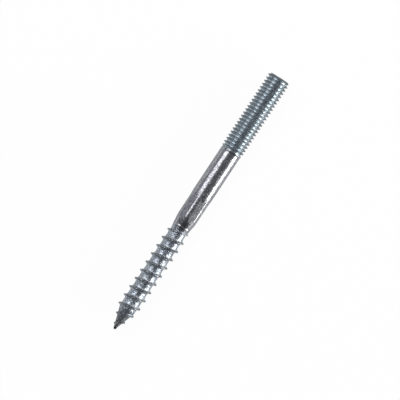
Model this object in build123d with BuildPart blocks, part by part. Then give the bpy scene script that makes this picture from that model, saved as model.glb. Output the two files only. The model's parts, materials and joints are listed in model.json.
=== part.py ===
"""Hanger bolt M8 x 100: machine thread at one end, wood thread and point at the other.

One rolled steel piece. The bolt lies along X, with +Z up. The origin is on its axis, where the
machine thread reaches its full diameter. +X runs out of the machine end, -X out of the point.

The machine thread, M8 x 1.25, stays a plain cylinder of its major diameter, because its grooves
are fine. The wood thread is cut in full: one swept turn of its ridge is repeated along the core,
and a conical sweep at each end lets the ridge sink into the shank's cone and into the point.
"""

import os
from math import atan2, cos, degrees, radians, sin, tan

from build123d import *

# ---- driving dimensions, millimetres and degrees --------------------------------------------

# machine thread, at its major diameter
machine_d = 8.0
machine_end_x = 27.8
end_chamfer = 0.75
runout_length = 2.3

# plain shank, left at the diameter that the machine thread is rolled from
shank_d = 7.2

# six flats pressed into the shank for a wrench, shut off by a shallow cone at the machine end
flats_across = 6.8
flats_corner_angle = 25.0
flats_x = -18.8
flats_cone_length = 2.0

# cone from the shank down to the core of the wood thread, with a narrow land where the dies begin
cone_top_x = -27.2
cone_foot_x = -32.5
land_high_x = -30.5
land_low_x = -30.8

# wood thread, right-handed, with a thin crest
wood_major_d = 7.5
wood_core_d = 5.6
wood_pitch = 3.23
wood_crest_phase_x = -50.03
wood_crest_width = 0.14
upper_flank_reach = 0.9
lower_flank_reach = 0.7
ridge_sink = 0.06
full_turns = 9
full_ridge_x = -63.8
fade_in_length = 5.0
fade_in_angle = 7.4
point_ridge_length = 6.1
point_ridge_angle = 26.0

# point
tip_x = -71.0
point_half_angle = 17.9
nose_radius = 0.42

# ---- worked out -------------------------------------------------------------------------------

machine_r = machine_d / 2
shank_r = shank_d / 2
wood_major_r = wood_major_d / 2
wood_core_r = wood_core_d / 2
fade_in_x = full_ridge_x + full_turns * wood_pitch
land_r = wood_core_r + (shank_r - wood_core_r) * (land_high_x - cone_foot_x) / (cone_top_x - cone_foot_x)

# the nose is a ball that the point's cone touches
nose_centre_x = tip_x + nose_radius
nose_touch_x = nose_centre_x - nose_radius * sin(radians(point_half_angle))
nose_touch_r = nose_radius * cos(radians(point_half_angle))
point_top_x = nose_touch_x + (wood_core_r - nose_touch_r) / tan(radians(point_half_angle))


def ridge(x, length, direction, flare=0.0):
    """The ridge of the wood thread from x on, along a cylinder, or a cone that flares outward.

    Its section is drawn in a plane through the axis, with the foot sunk a little into the core.
    """
    turn_angle = 360 * (x - wood_crest_phase_x) / wood_pitch
    across = Vector(0, 0, 1).rotate(Axis.X, turn_angle)
    foot_r = wood_core_r - ridge_sink
    turn = wood_pitch / cos(radians(flare))
    helix = Helix(turn, length, wood_major_r, (x, 0, 0), direction, cone_angle=flare)
    start = helix @ 0
    path = helix.rotate(Axis.X, turn_angle - degrees(atan2(start.Z, start.Y)))
    with BuildPart() as stretch:
        with BuildSketch(Plane(origin=(x, 0, 0), x_dir=(1, 0, 0), z_dir=across)):
            with BuildLine():
                Polyline(
                    (-lower_flank_reach, foot_r),
                    (upper_flank_reach, foot_r),
                    (wood_crest_width / 2, wood_major_r),
                    (-wood_crest_width / 2, wood_major_r),
                    close=True,
                )
            make_face()
        sweep(path=path, is_frenet=True)
    return stretch.part


# ---- the press that forms the flats: a ring outside a hexagon, closed by the shut-off cone ----

flats_r = flats_across / 2
press_foot_x = cone_foot_x + 1.0
press_rim_r = shank_r + 1.0

with BuildPart() as press:
    with BuildSketch(Plane.XY):
        with BuildLine():
            Polyline(
                (flats_x, shank_r),
                (flats_x - flats_cone_length, flats_r),
                (press_foot_x, flats_r),
                (press_foot_x, press_rim_r),
                (flats_x, press_rim_r),
                close=True,
            )
        make_face()
    revolve(axis=Axis.X)
    with BuildSketch(Plane.YZ.offset(press_foot_x)):
        RegularPolygon(flats_r, 6, rotation=flats_corner_angle, major_radius=False)
    extrude(amount=flats_x - press_foot_x, mode=Mode.SUBTRACT)

# ---- the bolt ---------------------------------------------------------------------------------

with BuildPart() as hanger_bolt:
    # every diameter of the bolt as one turned profile, from the nose to the machine end; it is
    # drawn upright, so the seam of its turned faces lies on top, clear of where the ridges sink in
    with BuildSketch(Plane.XZ):
        with BuildLine():
            CenterArc(
                (nose_centre_x, 0), nose_radius, 90 + point_half_angle, 90 - point_half_angle
            )
            Polyline(
                (nose_touch_x, nose_touch_r),
                (point_top_x, wood_core_r),
                (cone_foot_x, wood_core_r),
                (land_low_x, land_r),
                (land_high_x, land_r),
                (cone_top_x, shank_r),
                (-runout_length, shank_r),
                (0, machine_r),
                (machine_end_x - end_chamfer, machine_r),
                (machine_end_x, machine_r - end_chamfer),
                (machine_end_x, 0),
                (tip_x, 0),
            )
        make_face()
    revolve(axis=Axis.X)
    add(press.part, mode=Mode.SUBTRACT)

    # the full turns of the wood thread, all alike
    one_turn = ridge(full_ridge_x, wood_pitch, (1, 0, 0))
    with Locations(*[(turn * wood_pitch, 0, 0) for turn in range(full_turns)]):
        add(one_turn)

    # towards the shank the ridge sinks into the cone, and towards the tip into the point
    add(ridge(fade_in_x, fade_in_length, (1, 0, 0), flare=-fade_in_angle))
    add(ridge(full_ridge_x, point_ridge_length, (-1, 0, 0), flare=-point_ridge_angle))

hanger_bolt.part.label = "hanger_bolt"

os.makedirs("parts", exist_ok=True)
export_step(hanger_bolt.part, "parts/hanger_bolt.step")
box = hanger_bolt.part.bounding_box()
print("size", box.size, "volume", round(hanger_bolt.part.volume, 1), "mm3")
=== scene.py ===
# %% [markdown]
# # A hanger bolt in zinc-plated steel
#
# A hanger bolt has no head. One end carries a machine thread for a nut, the other a wood thread
# with a point, and six flats pressed in between let a wrench drive it. It is rolled from one rod
# and zinc plated, so the whole part is a single skin with a single finish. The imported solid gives
# the true sizes and the mounts. Here that skin is made again with the machine thread cut in full,
# with hollow flanks on the wood thread and with the soft edges that rolling and pressing leave.

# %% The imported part
import json
from math import acos, atan2, ceil, cos, floor, hypot, pi, radians, sin, sqrt, tan

import bmesh
import bpy
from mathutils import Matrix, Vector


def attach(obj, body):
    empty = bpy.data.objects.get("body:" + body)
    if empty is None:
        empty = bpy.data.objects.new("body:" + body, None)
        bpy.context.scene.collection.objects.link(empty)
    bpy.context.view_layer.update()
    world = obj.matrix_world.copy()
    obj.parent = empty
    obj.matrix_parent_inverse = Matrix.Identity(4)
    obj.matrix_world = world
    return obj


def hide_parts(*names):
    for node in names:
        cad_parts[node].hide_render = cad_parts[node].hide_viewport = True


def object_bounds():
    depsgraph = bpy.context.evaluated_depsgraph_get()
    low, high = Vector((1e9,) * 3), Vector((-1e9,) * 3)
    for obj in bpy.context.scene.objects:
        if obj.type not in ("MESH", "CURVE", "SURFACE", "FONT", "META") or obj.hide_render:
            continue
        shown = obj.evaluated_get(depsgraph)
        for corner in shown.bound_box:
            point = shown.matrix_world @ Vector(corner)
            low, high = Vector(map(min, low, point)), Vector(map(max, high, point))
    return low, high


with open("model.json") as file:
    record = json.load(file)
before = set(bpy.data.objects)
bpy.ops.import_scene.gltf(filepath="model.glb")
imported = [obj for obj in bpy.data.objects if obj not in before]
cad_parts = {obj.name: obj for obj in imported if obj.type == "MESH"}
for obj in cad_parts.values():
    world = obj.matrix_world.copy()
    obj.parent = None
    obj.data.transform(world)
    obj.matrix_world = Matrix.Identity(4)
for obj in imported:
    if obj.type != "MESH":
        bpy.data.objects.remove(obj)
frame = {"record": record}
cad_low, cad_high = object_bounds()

print("solid from", tuple(cad_low), "to", tuple(cad_high))

# %% [markdown]
# ## Sizes
#
# The two ends and both thread radii are read from the part's record, so they can't drift from
# the solid. What the record doesn't hold, such as pitches, is repeated from the part's drawing.
# Everything is in metres, along X, with zero where the machine thread reaches its full size.

# %% Sizes that the record gives
MM = 0.001

mounts = {mount["name"]: mount for mount in frame["record"]["mounts"]}
machine_r = mounts["machine_thread"]["dims"]["r_mm"] * MM
machine_end_x = mounts["end_face"]["pos_m"][0]
end_face_r = mounts["end_face"]["dims"]["r_mm"] * MM
wood_crest_r = mounts["wood_thread"]["dims"]["r_mm"] * MM
tip_x = mounts["wood_thread"]["pos_m"][0]
print("machine end", machine_end_x, "tip", tip_x)

# %% [markdown]
# ## Winding a thread
#
# A thread is one small outline, repeated along an axis and carried round it while it climbs. The
# Spin operator can do that, but the order of the faces it makes changes from run to run, and the
# cuts below then round off differently. A Screw modifier would have to be applied first. So here
# a flat grid is rolled into a tube: its rows follow the outlines laid end to end, its columns go
# round, and its last column lands one pitch further on. There it meets its first column point
# for point, because each outline is exactly one pitch long, and merging doubles closes the seam.
#
# The tube starts and ends in a slant. Every vertex past the end plane, or a hair short of it, is
# pressed onto it, and once the shaping below has given them one radius, merging leaves one clean
# ring.

# %% An outline rolled into a skin
COLUMNS = 144
MERGE = 0.002 * MM
PRESS = 0.01 * MM


def roll_up(line, rise):
    """A skin round the X axis from a line of (x, radius) that moves along X by rise in one turn."""
    skin = bmesh.new()
    bmesh.ops.create_grid(skin, x_segments=COLUMNS, y_segments=len(line) - 1, size=1)
    for number, vert in enumerate(skin.verts):
        row, column = divmod(number, COLUMNS + 1)
        x, r = line[row]
        share = column / COLUMNS
        vert.co = (x + rise * share, r * cos(2 * pi * share), r * sin(2 * pi * share))
    bmesh.ops.remove_doubles(skin, verts=skin.verts, dist=MERGE)
    return skin


def wind(outline, crest_x, pitch, low_x, high_x):
    """A right-handed skin from low_x to high_x. The outline holds (x, radius), x from its crest."""
    first_crest_x = crest_x + pitch * floor((low_x - pitch / 2 - crest_x) / pitch)
    turns = ceil((high_x - first_crest_x) / pitch + 0.5)
    line = [(first_crest_x + outline[0][0], outline[0][1])]
    for turn in range(turns):
        line += [(first_crest_x + turn * pitch + x, r) for x, r in outline[1:]]
    skin = roll_up(line, pitch)
    for vert in skin.verts:
        if vert.co.x < low_x + PRESS:
            vert.co.x = low_x
        if vert.co.x > high_x - PRESS:
            vert.co.x = high_x
    return skin


print(COLUMNS, "columns a turn,", 360 / COLUMNS, "degrees each")

# %% [markdown]
# ## Shaping by radius
#
# Chamfers, run-outs, the point and the flats all change one thing: how far the skin stands from
# the axis at a place. So each is a rule that takes a vertex's place along the bolt, its radius
# and its angle, and returns its new radius. Where a rule has a crisp corner, a cut through the
# skin first puts a line of vertices there, because a corner between vertices would look torn.

# %% Cuts and radius rules
CUT_SNAP = MERGE / 10


def cut(skin, geom, place, normal):
    """Splits the faces that a plane goes through, so that vertices lie along it."""
    bmesh.ops.bisect_plane(skin, geom=geom, dist=CUT_SNAP, plane_co=place, plane_no=normal)


def cut_across(skin, places):
    """A ring of vertices round the skin at each of the places along X."""
    for x in places:
        cut(skin, skin.verts[:] + skin.edges[:] + skin.faces[:], (x, 0, 0), (1, 0, 0))


def reshape(skin, radius_rule):
    """Moves each vertex in or out to the radius that the rule gives, then merges doubles."""
    for vert in skin.verts:
        r = hypot(vert.co.y, vert.co.z)
        angle = atan2(vert.co.z, vert.co.y)
        scale = radius_rule(vert.co.x, r, angle) / r
        vert.co.y *= scale
        vert.co.z *= scale
    bmesh.ops.remove_doubles(skin, verts=skin.verts, dist=MERGE)


print("vertices within", MERGE / MM, "mm of each other are merged")

# %% [markdown]
# ## The machine thread
#
# This is M8 x 1.25, with flanks at 60 degrees to each other, a narrow crest flat and a round
# root, as thread rolls press it. The crest's corners are eased, because plating rounds them and
# they catch the light. The grooves rise out of the rod over the last turn. The rod under them is
# thinner than the thread, since rolling pushes metal up, so the crests also drop on a cone.

# %% Machine thread
machine_pitch = 1.25 * MM
machine_root_r = 3.233 * MM
machine_crest_x = 0.675 * MM
root_arc_r = 0.22 * MM
crest_width = machine_pitch / 8
crest_ease = 0.045 * MM
flank_angle = radians(30)

shank_r = 3.6 * MM
runout_x = -1.8 * MM
crest_drop_x = 0.2 * MM
full_depth_x = -0.6 * MM
groove_rise = tan(radians(20.5))
machine_low_x = -2.6 * MM


def machine_outline():
    """One pitch from groove to groove, as (x, radius) from the crest."""
    centre_r = machine_root_r + root_arc_r
    half = machine_pitch / 2
    root = [radians(a) for a in (0, 22, 44, 60)]
    side = [(half - root_arc_r * sin(a), centre_r - root_arc_r * cos(a)) for a in root]
    low_x, low_r = side[-1]
    top_x = crest_width / 2 + crest_ease / 2
    top_r = machine_r - crest_ease * cos(flank_angle)
    side.append(((low_x + top_x) / 2, (low_r + top_r) / 2))
    side.append((top_x, top_r))
    side.append((crest_width / 2 - crest_ease / 2, machine_r))
    return [(-x, r) for x, r in side] + [(x, r) for x, r in reversed(side)]


def machine_rule(x, r, angle):
    """Grooves that rise out at the shank, crests that drop on a cone, and the end's chamfer."""
    if x > machine_end_x - MERGE:
        return end_face_r
    rising_root = machine_root_r + max(full_depth_x - x, 0) * groove_rise
    drop = min(max((crest_drop_x - x) / (crest_drop_x - runout_x), 0), 1)
    dropping_crest = machine_r - (machine_r - shank_r) * drop
    chamfer = end_face_r + machine_end_x - x
    return min(max(r, rising_root), dropping_crest, chamfer)


machine_skin = wind(
    machine_outline(), machine_crest_x, machine_pitch, machine_low_x, machine_end_x
)
chamfer_x = machine_end_x - (machine_r - end_face_r)
cut_across(machine_skin, [chamfer_x, crest_drop_x, runout_x])
reshape(machine_skin, machine_rule)
print("machine thread:", len(machine_skin.faces), "faces")

# %% [markdown]
# ## The core under the wood thread
#
# Seen without its ridge, the wood end is a turned shape: a cone down from the shank with a narrow
# land where the rolling dies begin, a straight core, and a point with a ball nose. The shank and
# the wood thread both need it, so it is one function of the place along the bolt. Drawing it as
# a curve and spinning it would leave no way to lay the ridge on it.

# %% Core
wood_core_r = 2.8 * MM
cone_top_x = -27.2 * MM
cone_foot_x = -32.5 * MM
land_high_x = -30.42 * MM
land_low_x = -30.86 * MM
land_r = 3.102 * MM
point_half_angle = radians(17.9)
nose_r = 0.42 * MM


def core_radius(x):
    """The core without its ridge, from the shank's cone to the ball nose."""
    nose_centre_x = tip_x + nose_r
    if x <= nose_centre_x - nose_r * sin(point_half_angle):
        return sqrt(max(nose_r**2 - (nose_centre_x - x) ** 2, 0))
    point = nose_r / cos(point_half_angle) + (x - nose_centre_x) * tan(point_half_angle)
    if x < land_high_x:
        rise = (x - cone_foot_x) / (land_low_x - cone_foot_x)
        return min(point, wood_core_r + (land_r - wood_core_r) * min(max(rise, 0), 1))
    rise = (x - land_high_x) / (cone_top_x - land_high_x)
    return land_r + (shank_r - land_r) * min(rise, 1)


print("core radius 10 mm from the tip:", core_radius(tip_x + 10 * MM) / MM, "mm")

# %% [markdown]
# ## The wood thread and the point
#
# Thread rolls raise this ridge from the rod too. It is thin and sharp, and its flanks are hollow:
# they fall steeply from the crest and run out flat on the core. It is wound like the machine
# thread, and its rule then lays it on the core. Where the ridge is lower it sinks into the core
# instead of shrinking, which keeps its crest thin, as on the real point.

# %% Wood thread
wood_pitch = 3.23 * MM
wood_crest_x = -49.85 * MM
wood_crest_width = 0.2 * MM
upper_reach = 1.0 * MM
lower_reach = 0.78 * MM
flank_steps = 6
ridge_height = wood_crest_r - wood_core_r

fade_in_x = -34.9 * MM
fade_in_slope = tan(radians(7.4))
wood_high_x = -29.6 * MM
point_ridge_length = 9.5 * MM
point_ridge_power = 0.6


def wood_outline():
    """One pitch from mid-core to mid-core, as (x, radius) from the crest."""
    edge = wood_crest_width / 2
    upper = []
    lower = []
    for step in range(flank_steps + 1):
        fall = step / flank_steps
        r = wood_core_r + ridge_height * (1 - fall) ** 2
        upper.append((edge + (upper_reach - edge) * fall, r))
        lower.append((-edge - (lower_reach - edge) * fall, r))
    gap = wood_pitch - upper_reach - lower_reach
    core = [(upper_reach + gap * share, wood_core_r) for share in (0.33, 0.67, 1)]
    return lower[::-1] + upper + core


def wood_rule(x, r, angle):
    """Lays the ridge on the core, and sinks it towards the shank and the tip."""
    core = core_radius(x)
    fade_in = wood_crest_r - max(x - fade_in_x, 0) * fade_in_slope - core
    share = min(max((x - tip_x) / point_ridge_length, 0), 1)
    height = min(fade_in, ridge_height * share**point_ridge_power)
    sink = ridge_height - height
    return core + max(r - wood_core_r - sink, 0)


wood_skin = wind(wood_outline(), wood_crest_x, wood_pitch, tip_x, wood_high_x)
nose_rings = [tip_x + nose_r * (1 - cos(radians(angle))) for angle in range(12, 75, 12)]
land_edge = 0.05 * MM
land_rings = [land_low_x, land_low_x + land_edge, land_high_x - land_edge, land_high_x]
cut_across(wood_skin, nose_rings + [cone_foot_x] + land_rings)
reshape(wood_skin, wood_rule)
print("wood thread:", len(wood_skin.faces), "faces")

# %% [markdown]
# ## The shank and its six flats
#
# Between the threads the rod stays plain, and six flats are pressed into it. A boolean cut would
# give razor edges. The press leaves soft ones, so the shank is a rolled-up skin with close rings
# over the pressed zone, and the rule takes the lower of the round rod and the flats through a
# smooth minimum. Cuts along the rod put vertices where the flats' corners will lie, so that their
# edges stay straight. At the machine end the press closes on a shallow cone, which leaves a wedge
# over each flat, and at the other end the flats run out on the cone to the wood thread.

# %% Flats
flat_distance = 3.4 * MM
flats_x = -18.8 * MM
flats_cone_length = 2.0 * MM
flats_turn = radians(-5)
flat_edge_ease = 0.008 * MM
pressed_foot_x = -28.7 * MM


def smooth_min(a, b, rounding):
    """The lesser of two radii, with the corner between them rounded off."""
    overlap = max(rounding - abs(a - b), 0) / rounding
    return min(a, b) - overlap**2 * rounding / 4


def shank_rule(x, r, angle):
    """The rod and its cone, less the six flats and the cone that closes the press."""
    rod = core_radius(x)
    if x <= pressed_foot_x or x >= flats_x:
        return rod
    off_centre = (angle - flats_turn + pi / 6) % (pi / 3) - pi / 6
    flat = flat_distance / cos(off_centre)
    closing = shank_r - (flats_x - x) * (shank_r - flat_distance) / flats_cone_length
    return smooth_min(rod, max(flat, closing), flat_edge_ease)


print("across the flats:", 2 * flat_distance / MM, "mm")

# %% Shank
pressed_cuts = 84
plain_cuts = 9
SHANK_STRETCHES = [
    (wood_high_x, pressed_foot_x, plain_cuts),
    (pressed_foot_x, flats_x, pressed_cuts),
    (flats_x, machine_low_x, plain_cuts),
]


def plain_shank():
    """The round rod between the threads, with close rings where the flats go."""
    line = [(wood_high_x, shank_r)]
    for low_x, high_x, cuts in SHANK_STRETCHES:
        length = high_x - low_x
        steps = cuts + 1
        line += [(low_x + length * (step + 1) / steps, shank_r) for step in range(steps)]
    return roll_up(line, 0)


def cut_corners(skin):
    """Lines of vertices along the rod where its flats' corners will lie."""
    corner = acos(flat_distance / shank_r)
    low_x = pressed_foot_x - MERGE
    high_x = flats_x + MERGE
    middles = [flats_turn + pi / 3 * flat for flat in range(3)]
    for angle in [middle + way * corner for middle in middles for way in (1, -1)]:
        verts = [vert for vert in skin.verts if low_x < vert.co.x < high_x]
        inside = set(verts)
        edges = [edge for edge in skin.edges if inside.issuperset(edge.verts)]
        faces = [face for face in skin.faces if inside.issuperset(face.verts)]
        cut(skin, verts + edges + faces, (0, 0, 0), (0, -sin(angle), cos(angle)))


shank_skin = plain_shank()
cut_corners(shank_skin)
reshape(shank_skin, shank_rule)
print("shank:", len(shank_skin.faces), "faces")

# %% [markdown]
# ## One closed skin
#
# The three skins share one number of columns, so their end rings meet vertex to vertex, and
# merging doubles welds them. The open end is the machine end's face. It is filled, then inset
# once, so that the face shades flat right up to its edge.

# %% Weld the three and close the end
rim_width = 0.15 * MM


def weld(skins):
    """One bmesh from several, with their shared rings merged."""
    whole = bmesh.new()
    for skin in skins:
        part = bpy.data.meshes.new("part")
        skin.to_mesh(part)
        skin.free()
        whole.from_mesh(part)
        bpy.data.meshes.remove(part)
    bmesh.ops.remove_doubles(whole, verts=whole.verts, dist=MERGE * 2)
    return whole


def close_end(whole):
    """Fills the one open ring with a face that has a narrow rim and a fan inside it."""
    rim = [edge for edge in whole.edges if edge.is_boundary]
    print("open edges before the fill:", len(rim), "of", COLUMNS, "columns")
    face = bmesh.ops.contextual_create(whole, geom=rim)["faces"]
    bmesh.ops.inset_region(whole, faces=face, thickness=rim_width, depth=0)
    bmesh.ops.poke(whole, faces=face)
    bmesh.ops.recalc_face_normals(whole, faces=whole.faces)


bolt_mesh = weld([machine_skin, shank_skin, wood_skin])
close_end(bolt_mesh)
loose = [edge for edge in bolt_mesh.edges if not edge.is_manifold]
triangles = sum(len(face.verts) - 2 for face in bolt_mesh.faces)
print(triangles, "triangles and", len(loose), "open edges, volume", bolt_mesh.calc_volume())

# %% The bolt's object
sharp_angle = radians(42)

bolt = bpy.data.objects.new("zinc_plated_bolt", bpy.data.meshes.new("zinc_plated_bolt"))
bolt_mesh.to_mesh(bolt.data)
bolt_mesh.free()
bpy.context.scene.collection.objects.link(bolt)
bolt.data.polygons.foreach_set("use_smooth", [True] * len(bolt.data.polygons))
bolt.data.set_sharp_from_angle(angle=sharp_angle)
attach(bolt, "root")
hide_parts("hanger_bolt")
print(bolt.name, "has", len(bolt.data.polygons), "faces")

# %% [markdown]
# ## Wiring shaders in Python
#
# A finish that varies over the part is arithmetic on places and noises. Adding each Math node by
# hand hides that arithmetic, so a small class wraps a node's output and lets Python's operators
# add the nodes. Everything that isn't arithmetic comes from one function, which makes a node,
# sets its settings first, because they can change its sockets, and then fills the sockets.

# %% Nodes from expressions
class Wire:
    """A node's output. Arithmetic on it adds Math nodes to its tree."""

    def __init__(self, tree, socket):
        self.tree = tree
        self.socket = socket

    def maths(self, operation, *values):
        settings = {"operation": operation}
        return add_node(self.tree, "ShaderNodeMath", settings, dict(enumerate(values)))

    def __add__(self, other):
        return self.maths("ADD", self, other)

    def __sub__(self, other):
        return self.maths("SUBTRACT", self, other)

    def __rsub__(self, other):
        return self.maths("SUBTRACT", other, self)

    def __mul__(self, other):
        return self.maths("MULTIPLY", self, other)

    def __pow__(self, other):
        return self.maths("POWER", self, other)

    __radd__ = __add__
    __rmul__ = __mul__


def find_socket(sockets, key):
    """A socket by its number, or by its identifier, which differs even where names are alike."""
    if isinstance(key, int):
        return sockets[key]
    return next(socket for socket in sockets if key in (socket.identifier, socket.name))


def add_node(tree, kind, settings=None, inputs=None, output=0):
    """Adds a node, sets it up, fills or links its inputs, and returns one output as a Wire."""
    node = tree.nodes.new(kind)
    for name, value in (settings or {}).items():
        setattr(node, name, value)
    for key, value in (inputs or {}).items():
        socket = find_socket(node.inputs, key)
        if isinstance(value, Wire):
            tree.links.new(value.socket, socket)
        else:
            socket.default_value = value
    return Wire(tree, find_socket(node.outputs, output)) if node.outputs else node


# %% Named steps for finishes
def new_tree(block):
    """The empty node tree of a material or world."""
    block.use_nodes = True
    block.node_tree.nodes.clear()
    return block.node_tree


def ease(value, low, high):
    """0 below low, 1 above high, and a smooth rise between. A low above high makes it fall."""
    settings = {"interpolation_type": "SMOOTHSTEP"}
    inputs = {"Value": value, "From Min": low, "From Max": high}
    return add_node(value.tree, "ShaderNodeMapRange", settings, inputs)


def blend(share, first, second):
    """The first colour where share is 0, and the second where it is 1."""
    inputs = {"Factor_Float": share, "A_Color": first, "B_Color": second}
    return add_node(share.tree, "ShaderNodeMix", {"data_type": "RGBA"}, inputs, "Result_Color")


def noise(place, size, detail):
    """A cloudy pattern from about 0.3 to 0.7 whose lumps are about size metres across."""
    inputs = {"Vector": place, "Scale": 1 / size, "Detail": detail}
    return add_node(place.tree, "ShaderNodeTexNoise", {}, inputs)


def stretch(place, factors):
    """The place with each axis multiplied, which stretches a pattern along the small factors."""
    settings = {"operation": "MULTIPLY"}
    return add_node(place.tree, "ShaderNodeVectorMath", settings, {0: place, 1: factors})


# %% [markdown]
# ## The zinc finish
#
# Bright zinc plate with a clear blue passivate is a mirror with a fine haze. It is bluest in the
# grooves, where the bath lingers, and paler and faintly lilac on the plain shank. The threads'
# flanks and roots are also painted lighter, a painted fill that stands in for light bounced inside
# the grooves. Barrel plating knocks the bolts together, so the skin has shallow dents a millimetre
# across, dull patches, and finer specks of rubbed and of bare metal. The crests are painted dark,
# a painted shade on the ridge tips. The chamfer is painted nearly charcoal, a painted dark
# reflection, and the point is darkened towards charcoal. The nose, which meets everything first,
# has bright specks where it is scraped bare, and the very tip is black.
#
# All of that follows from two numbers that every place on the part has: how far along X it lies,
# and how far from the axis. Both come from Object coordinates, so no unwrapping is needed, and
# the finish can't slide when the part is moved.

# %% Where on the bolt
zinc = bpy.data.materials.new("zinc_plated_steel")
tree = new_tree(zinc)
place = add_node(tree, "ShaderNodeTexCoord", output="Object")
along = add_node(tree, "ShaderNodeSeparateXYZ", inputs={0: place}, output="X")
side = add_node(tree, "ShaderNodeSeparateXYZ", inputs={0: place}, output="Y")
height = add_node(tree, "ShaderNodeSeparateXYZ", inputs={0: place}, output="Z")
reach = (side**2 + height**2) ** 0.5

on_machine_thread = ease(along, -1.6 * MM, -0.2 * MM)
on_wood_thread = ease(along, -31.0 * MM, -32.6 * MM)
on_thread = on_machine_thread + on_wood_thread
on_point = ease(along, -61.0 * MM, -66.0 * MM)
on_nose = ease(along, -65.5 * MM, -68.5 * MM)
on_tip = ease(along, -69.6 * MM, -70.5 * MM)
print("places along the bolt:", len(tree.nodes), "nodes")

# %% Which part of the section
machine_root = on_machine_thread * ease(reach, 3.42 * MM, 3.32 * MM)
machine_flank = on_machine_thread * ease(reach, 3.92 * MM, 3.75 * MM)
machine_crest = on_machine_thread * ease(reach, 3.8 * MM, 3.93 * MM)
wood_flank = on_wood_thread * ease(reach, 2.83 * MM, 3.05 * MM)
wood_crest = on_wood_thread * ease(reach, 3.05 * MM, 3.4 * MM)
wood_core = on_wood_thread - wood_flank
on_flank = machine_flank + wood_flank
on_chamfer = ease(along, 26.95 * MM, 27.2 * MM) * ease(reach, 3.22 * MM, 3.3 * MM)
pressed = ease(along, -19.6 * MM, -20.4 * MM) * ease(along, -29.0 * MM, -28.4 * MM)
on_flat = pressed * ease(reach, 3.6 * MM, 3.56 * MM)
print("and across it:", len(tree.nodes), "nodes")

# %% Patterns
clouds = noise(place, 5 * MM, 3)
mottle = noise(place, 1.3 * MM, 4)
dents = noise(place, 1.1 * MM, 1)
nicks = noise(place, 0.45 * MM, 2)
specks = noise(place, 0.7 * MM, 3)
grains = noise(place, 0.28 * MM, 1)
drawn = noise(stretch(place, (0.03, 1, 1)), 0.4 * MM, 2)
print("and patterns:", len(tree.nodes), "nodes")

# %% Colours
plain_zinc = (0.288, 0.293, 0.318, 1)
blue_zinc = (0.285, 0.315, 0.345, 1)
core_zinc = (0.315, 0.36, 0.415, 1)
machine_flank_blue_and_painted_fill = (0.475, 0.54, 0.58, 1)
root_blue_and_painted_fill = (0.46, 0.525, 0.565, 1)
wood_flank_blue_and_painted_fill = (0.49, 0.54, 0.6, 1)
dull_grey = (0.17, 0.18, 0.19, 1)
specks_and_crest_shade_grey = (0.1, 0.105, 0.11, 1)
charcoal = (0.07, 0.072, 0.075, 1)
bare_steel = (0.75, 0.74, 0.72, 1)
soot = (0.01, 0.01, 0.01, 1)

colour = blend(on_thread, plain_zinc, blue_zinc)
colour = blend(wood_core, colour, core_zinc)
# Flanks and roots keep their real blue tint and are also painted lighter, a painted fill for light
# bounced inside the grooves.
colour = blend(machine_flank * 0.9, colour, machine_flank_blue_and_painted_fill)
colour = blend(wood_flank * 0.9, colour, wood_flank_blue_and_painted_fill)
colour = blend(machine_root, colour, root_blue_and_painted_fill)
# Dark crests are painted shade on the ridge tips. The same grey also gives the rubbed specks below,
# which are real wear.
colour = blend(machine_crest * 0.75, colour, specks_and_crest_shade_grey)
colour = blend(wood_crest * 0.72, colour, specks_and_crest_shade_grey)
speckling = 0.4 + on_wood_thread * 0.2 - on_machine_thread * 0.25
colour = blend(ease(nicks, 0.5, 0.6) * speckling, colour, specks_and_crest_shade_grey)
colour = blend(ease(nicks, 0.5, 0.4) * speckling * 0.5, colour, bare_steel)
colour = blend(ease(mottle, 0.52, 0.72) * 0.35, colour, dull_grey)
# The point and the nose are darkened towards charcoal. On the chamfer the charcoal is painted
# shade, a dark reflection painted into the colour.
colour = blend(on_point * 0.5 + on_nose * 0.35 + on_chamfer * 0.85, colour, charcoal)
colour = blend(on_nose * ease(grains, 0.54, 0.64) * 0.7, colour, bare_steel)
colour = blend(on_tip * 0.9, colour, soot)
print("and colours:", len(tree.nodes), "nodes")

# %% [markdown]
# ## Haze and relief
#
# Haze is roughness: plating is never a perfect mirror, and it is duller in specks, on flanks and
# where the press has rubbed it. Relief is bump, only a few hundredths of a millimetre deep,
# and real geometry that fine would take millions of faces. Dents soften the highlights of the
# shank, nicks break up those of the wood thread, and fine lines along the rod, left from
# drawing it, show on the flats.

# %% Haze, relief and the finished material
haze = 0.19 + ease(clouds, 0.35, 0.65) * 0.06
haze = haze + ease(specks, 0.5, 0.68) * (0.25 - on_flat * 0.2)
haze = haze + on_thread * 0.02 + on_flank * 0.12 - machine_root * 0.1
haze = haze + on_point * 0.08 + on_flat * 0.08 + wood_core * 0.02

relief_depth = 0.016 * MM
nick_share = 1.5 - on_machine_thread + on_wood_thread * 8.5
relief = dents * (1 - on_flat * 0.75) + nicks * nick_share + drawn * (0.12 + on_flat * 0.6)
bump_inputs = {"Strength": 1, "Distance": relief_depth, "Height": relief}
skin_normal = add_node(tree, "ShaderNodeBump", inputs=bump_inputs)

zinc_inputs = {"Base Color": colour, "Metallic": 1, "Roughness": haze, "Normal": skin_normal}
zinc_inputs["Specular Tint"] = (0.6, 0.62, 0.64, 1)
zinc_shader = add_node(tree, "ShaderNodeBsdfPrincipled", inputs=zinc_inputs)
add_node(tree, "ShaderNodeOutputMaterial", inputs={"Surface": zinc_shader})
bolt.data.materials.append(zinc)
print("zinc finish:", len(tree.nodes), "nodes")

# %% [markdown]
# ## The floor
#
# A bare white sheet, lit so evenly that it is hard to see. A diffuse white alone would come out
# grey wherever less light falls, and more light would wash out the bolt. So most of what the
# camera and the bolt's reflections see of it is a plain glow of strength 1. The rest stays
# diffuse, which keeps the soft shadow under the bolt.

# %% The white sheet's material
glow_share = 0.96
paper_white = (0.85, 0.85, 0.85, 1)
glow_white = (1, 1, 1, 1)

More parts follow.
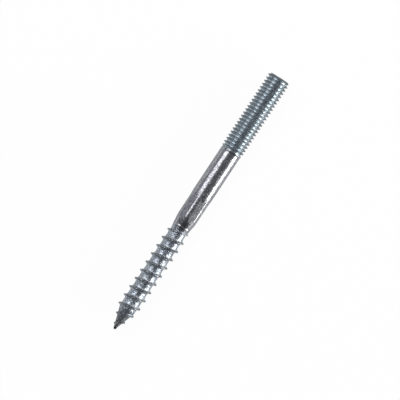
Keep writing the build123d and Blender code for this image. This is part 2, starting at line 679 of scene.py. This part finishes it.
floor_white = bpy.data.materials.new("white_sheet")
tree = new_tree(floor_white)
seen = add_node(tree, "ShaderNodeLightPath", output="Is Camera Ray")
mirrored = add_node(tree, "ShaderNodeLightPath", output="Is Glossy Ray")
through = add_node(tree, "ShaderNodeLightPath", output="Is Transmission Ray")
looked_at = seen.maths("MAXIMUM", seen, mirrored)
looked_at = seen.maths("MAXIMUM", looked_at, through)
paper = add_node(tree, "ShaderNodeBsdfDiffuse", inputs={"Color": paper_white})
glow = add_node(tree, "ShaderNodeEmission", inputs={"Color": glow_white, "Strength": 1})
sheet_inputs = {0: looked_at * glow_share, 1: paper, 2: glow}
sheet = add_node(tree, "ShaderNodeMixShader", inputs=sheet_inputs)
add_node(tree, "ShaderNodeOutputMaterial", inputs={"Surface": sheet})
print("white sheet:", len(tree.nodes), "nodes")

# %% Floor
floor_radius = 4

sheet_mesh = bmesh.new()
bmesh.ops.create_circle(sheet_mesh, cap_ends=True, segments=64, radius=floor_radius)
bmesh.ops.translate(sheet_mesh, verts=sheet_mesh.verts, vec=(0, 0, cad_low.z))
floor_disc = bpy.data.objects.new("floor", bpy.data.meshes.new("floor"))
sheet_mesh.to_mesh(floor_disc.data)
sheet_mesh.free()
bpy.context.scene.collection.objects.link(floor_disc)
floor_disc.data.materials.append(floor_white)
print("floor at", cad_low.z)

# %% [markdown]
# ## The light
#
# Round metal is a mirror bent into a strip: each line along it shows one direction of the room.
# So lighting it means placing what it reflects. A wide lamp high on the left draws the lilac
# line, a strong low one on the right draws the white one, and the dark room above leaves the
# dark line between them. The lamps stand mostly beyond the machine end, so that the point's
# cone, which faces the other way, stays dark.

# %% Lamps
def softbox(name, lean, distance, width, near_x, far_x, strength, colour):
    """A long lamp over the bolt, leaning lean degrees from overhead towards +Y."""
    length = far_x - near_x
    lamp = bpy.data.lights.new(name, "AREA")
    lamp.shape = "RECTANGLE"
    lamp.size = length
    lamp.size_y = width
    lamp.energy = strength * pi * length * width
    lamp.color = colour
    holder = bpy.data.objects.new(name, lamp)
    middle_x = (near_x + far_x) / 2
    holder.location = (middle_x, distance * sin(radians(lean)), distance * cos(radians(lean)))
    holder.rotation_euler = (-radians(lean), 0, 0)
    bpy.context.scene.collection.objects.link(holder)
    print(name, "gives", lamp.energy, "watts")


softbox(
    "left_softbox", lean=37, distance=1.5, width=0.95, near_x=-0.17, far_x=2.6,
    strength=3.45, colour=(0.99, 0.98, 1),
)
softbox(
    "right_softbox", lean=-79.5, distance=1.5, width=0.66, near_x=-0.17, far_x=2.2,
    strength=10.6, colour=(1, 0.98, 0.94),
)

# %% [markdown]
# ## The room
#
# What no lamp covers, the bolt reflects from the room, so the world is painted by direction. It
# is dark overhead and grey lower down, with a paler wall on the right. The end walls are pale,
# because the threads' flanks face them, and the room is darker towards the tip, which keeps the
# point dark. A white horizon joins the floor without an edge.

# %% Room
studio = bpy.data.worlds.new("studio")
tree = new_tree(studio)
direction = add_node(tree, "ShaderNodeTexCoord", output="Generated")
upward = add_node(tree, "ShaderNodeSeparateXYZ", inputs={0: direction}, output="Z")
machine_ward = add_node(tree, "ShaderNodeSeparateXYZ", inputs={0: direction}, output="X")
left_ward = add_node(tree, "ShaderNodeSeparateXYZ", inputs={0: direction}, output="Y")
end_ward = machine_ward.maths("ABSOLUTE", machine_ward)

right_wall = (0.58, 0.59, 0.62, 1)
left_wall = (0.43, 0.44, 0.49, 1)
ceiling = (0.23, 0.23, 0.24, 1)
tip_wall = (0.2, 0.2, 0.22, 1)
tip_ceiling = (0.06, 0.06, 0.07, 1)
end_wall = (0.85, 0.86, 0.87, 1)
horizon = (1, 1, 1, 1)

tip_side = blend(ease(upward, 0.35, 0.85), tip_wall, tip_ceiling)
walls = blend(ease(left_ward, -0.7, 0.7), right_wall, left_wall)
room = blend(ease(upward, 0.35, 0.85), walls, ceiling)
room = blend(ease(machine_ward, -0.22, -0.06), tip_side, room)
room = blend(ease(end_ward, 0.6, 0.85), room, end_wall)
room = blend(ease(upward, 0.08, 0.14), horizon, room)
backdrop = add_node(tree, "ShaderNodeBackground", inputs={"Color": room, "Strength": 1})
add_node(tree, "ShaderNodeOutputWorld", inputs={"Surface": backdrop})
bpy.context.scene.world = studio
print("room:", len(tree.nodes), "nodes")

# %% [markdown]
# ## The camera
#
# It looks straight down from over the shank, turned so that the machine end points up and to the
# right. A long lens far away keeps the bolt's two edges parallel.

# %% Camera
view_width = 131.4 * MM
view_x = -20.1 * MM
view_y = -0.2 * MM
view_turn = radians(56.552)

camera_data = bpy.data.cameras.new("camera")
camera_data.lens = 300
camera_data.clip_start = 0.01
camera_data.clip_end = 20
camera = bpy.data.objects.new("camera", camera_data)
camera_height = view_width * camera_data.lens / camera_data.sensor_width
camera.location = (view_x, view_y, camera_height)
camera.rotation_euler = (0, 0, -view_turn)
bpy.context.scene.collection.objects.link(camera)
bpy.context.scene.camera = camera
bpy.context.scene.view_settings.view_transform = "Standard"
print("camera at", tuple(camera.location))
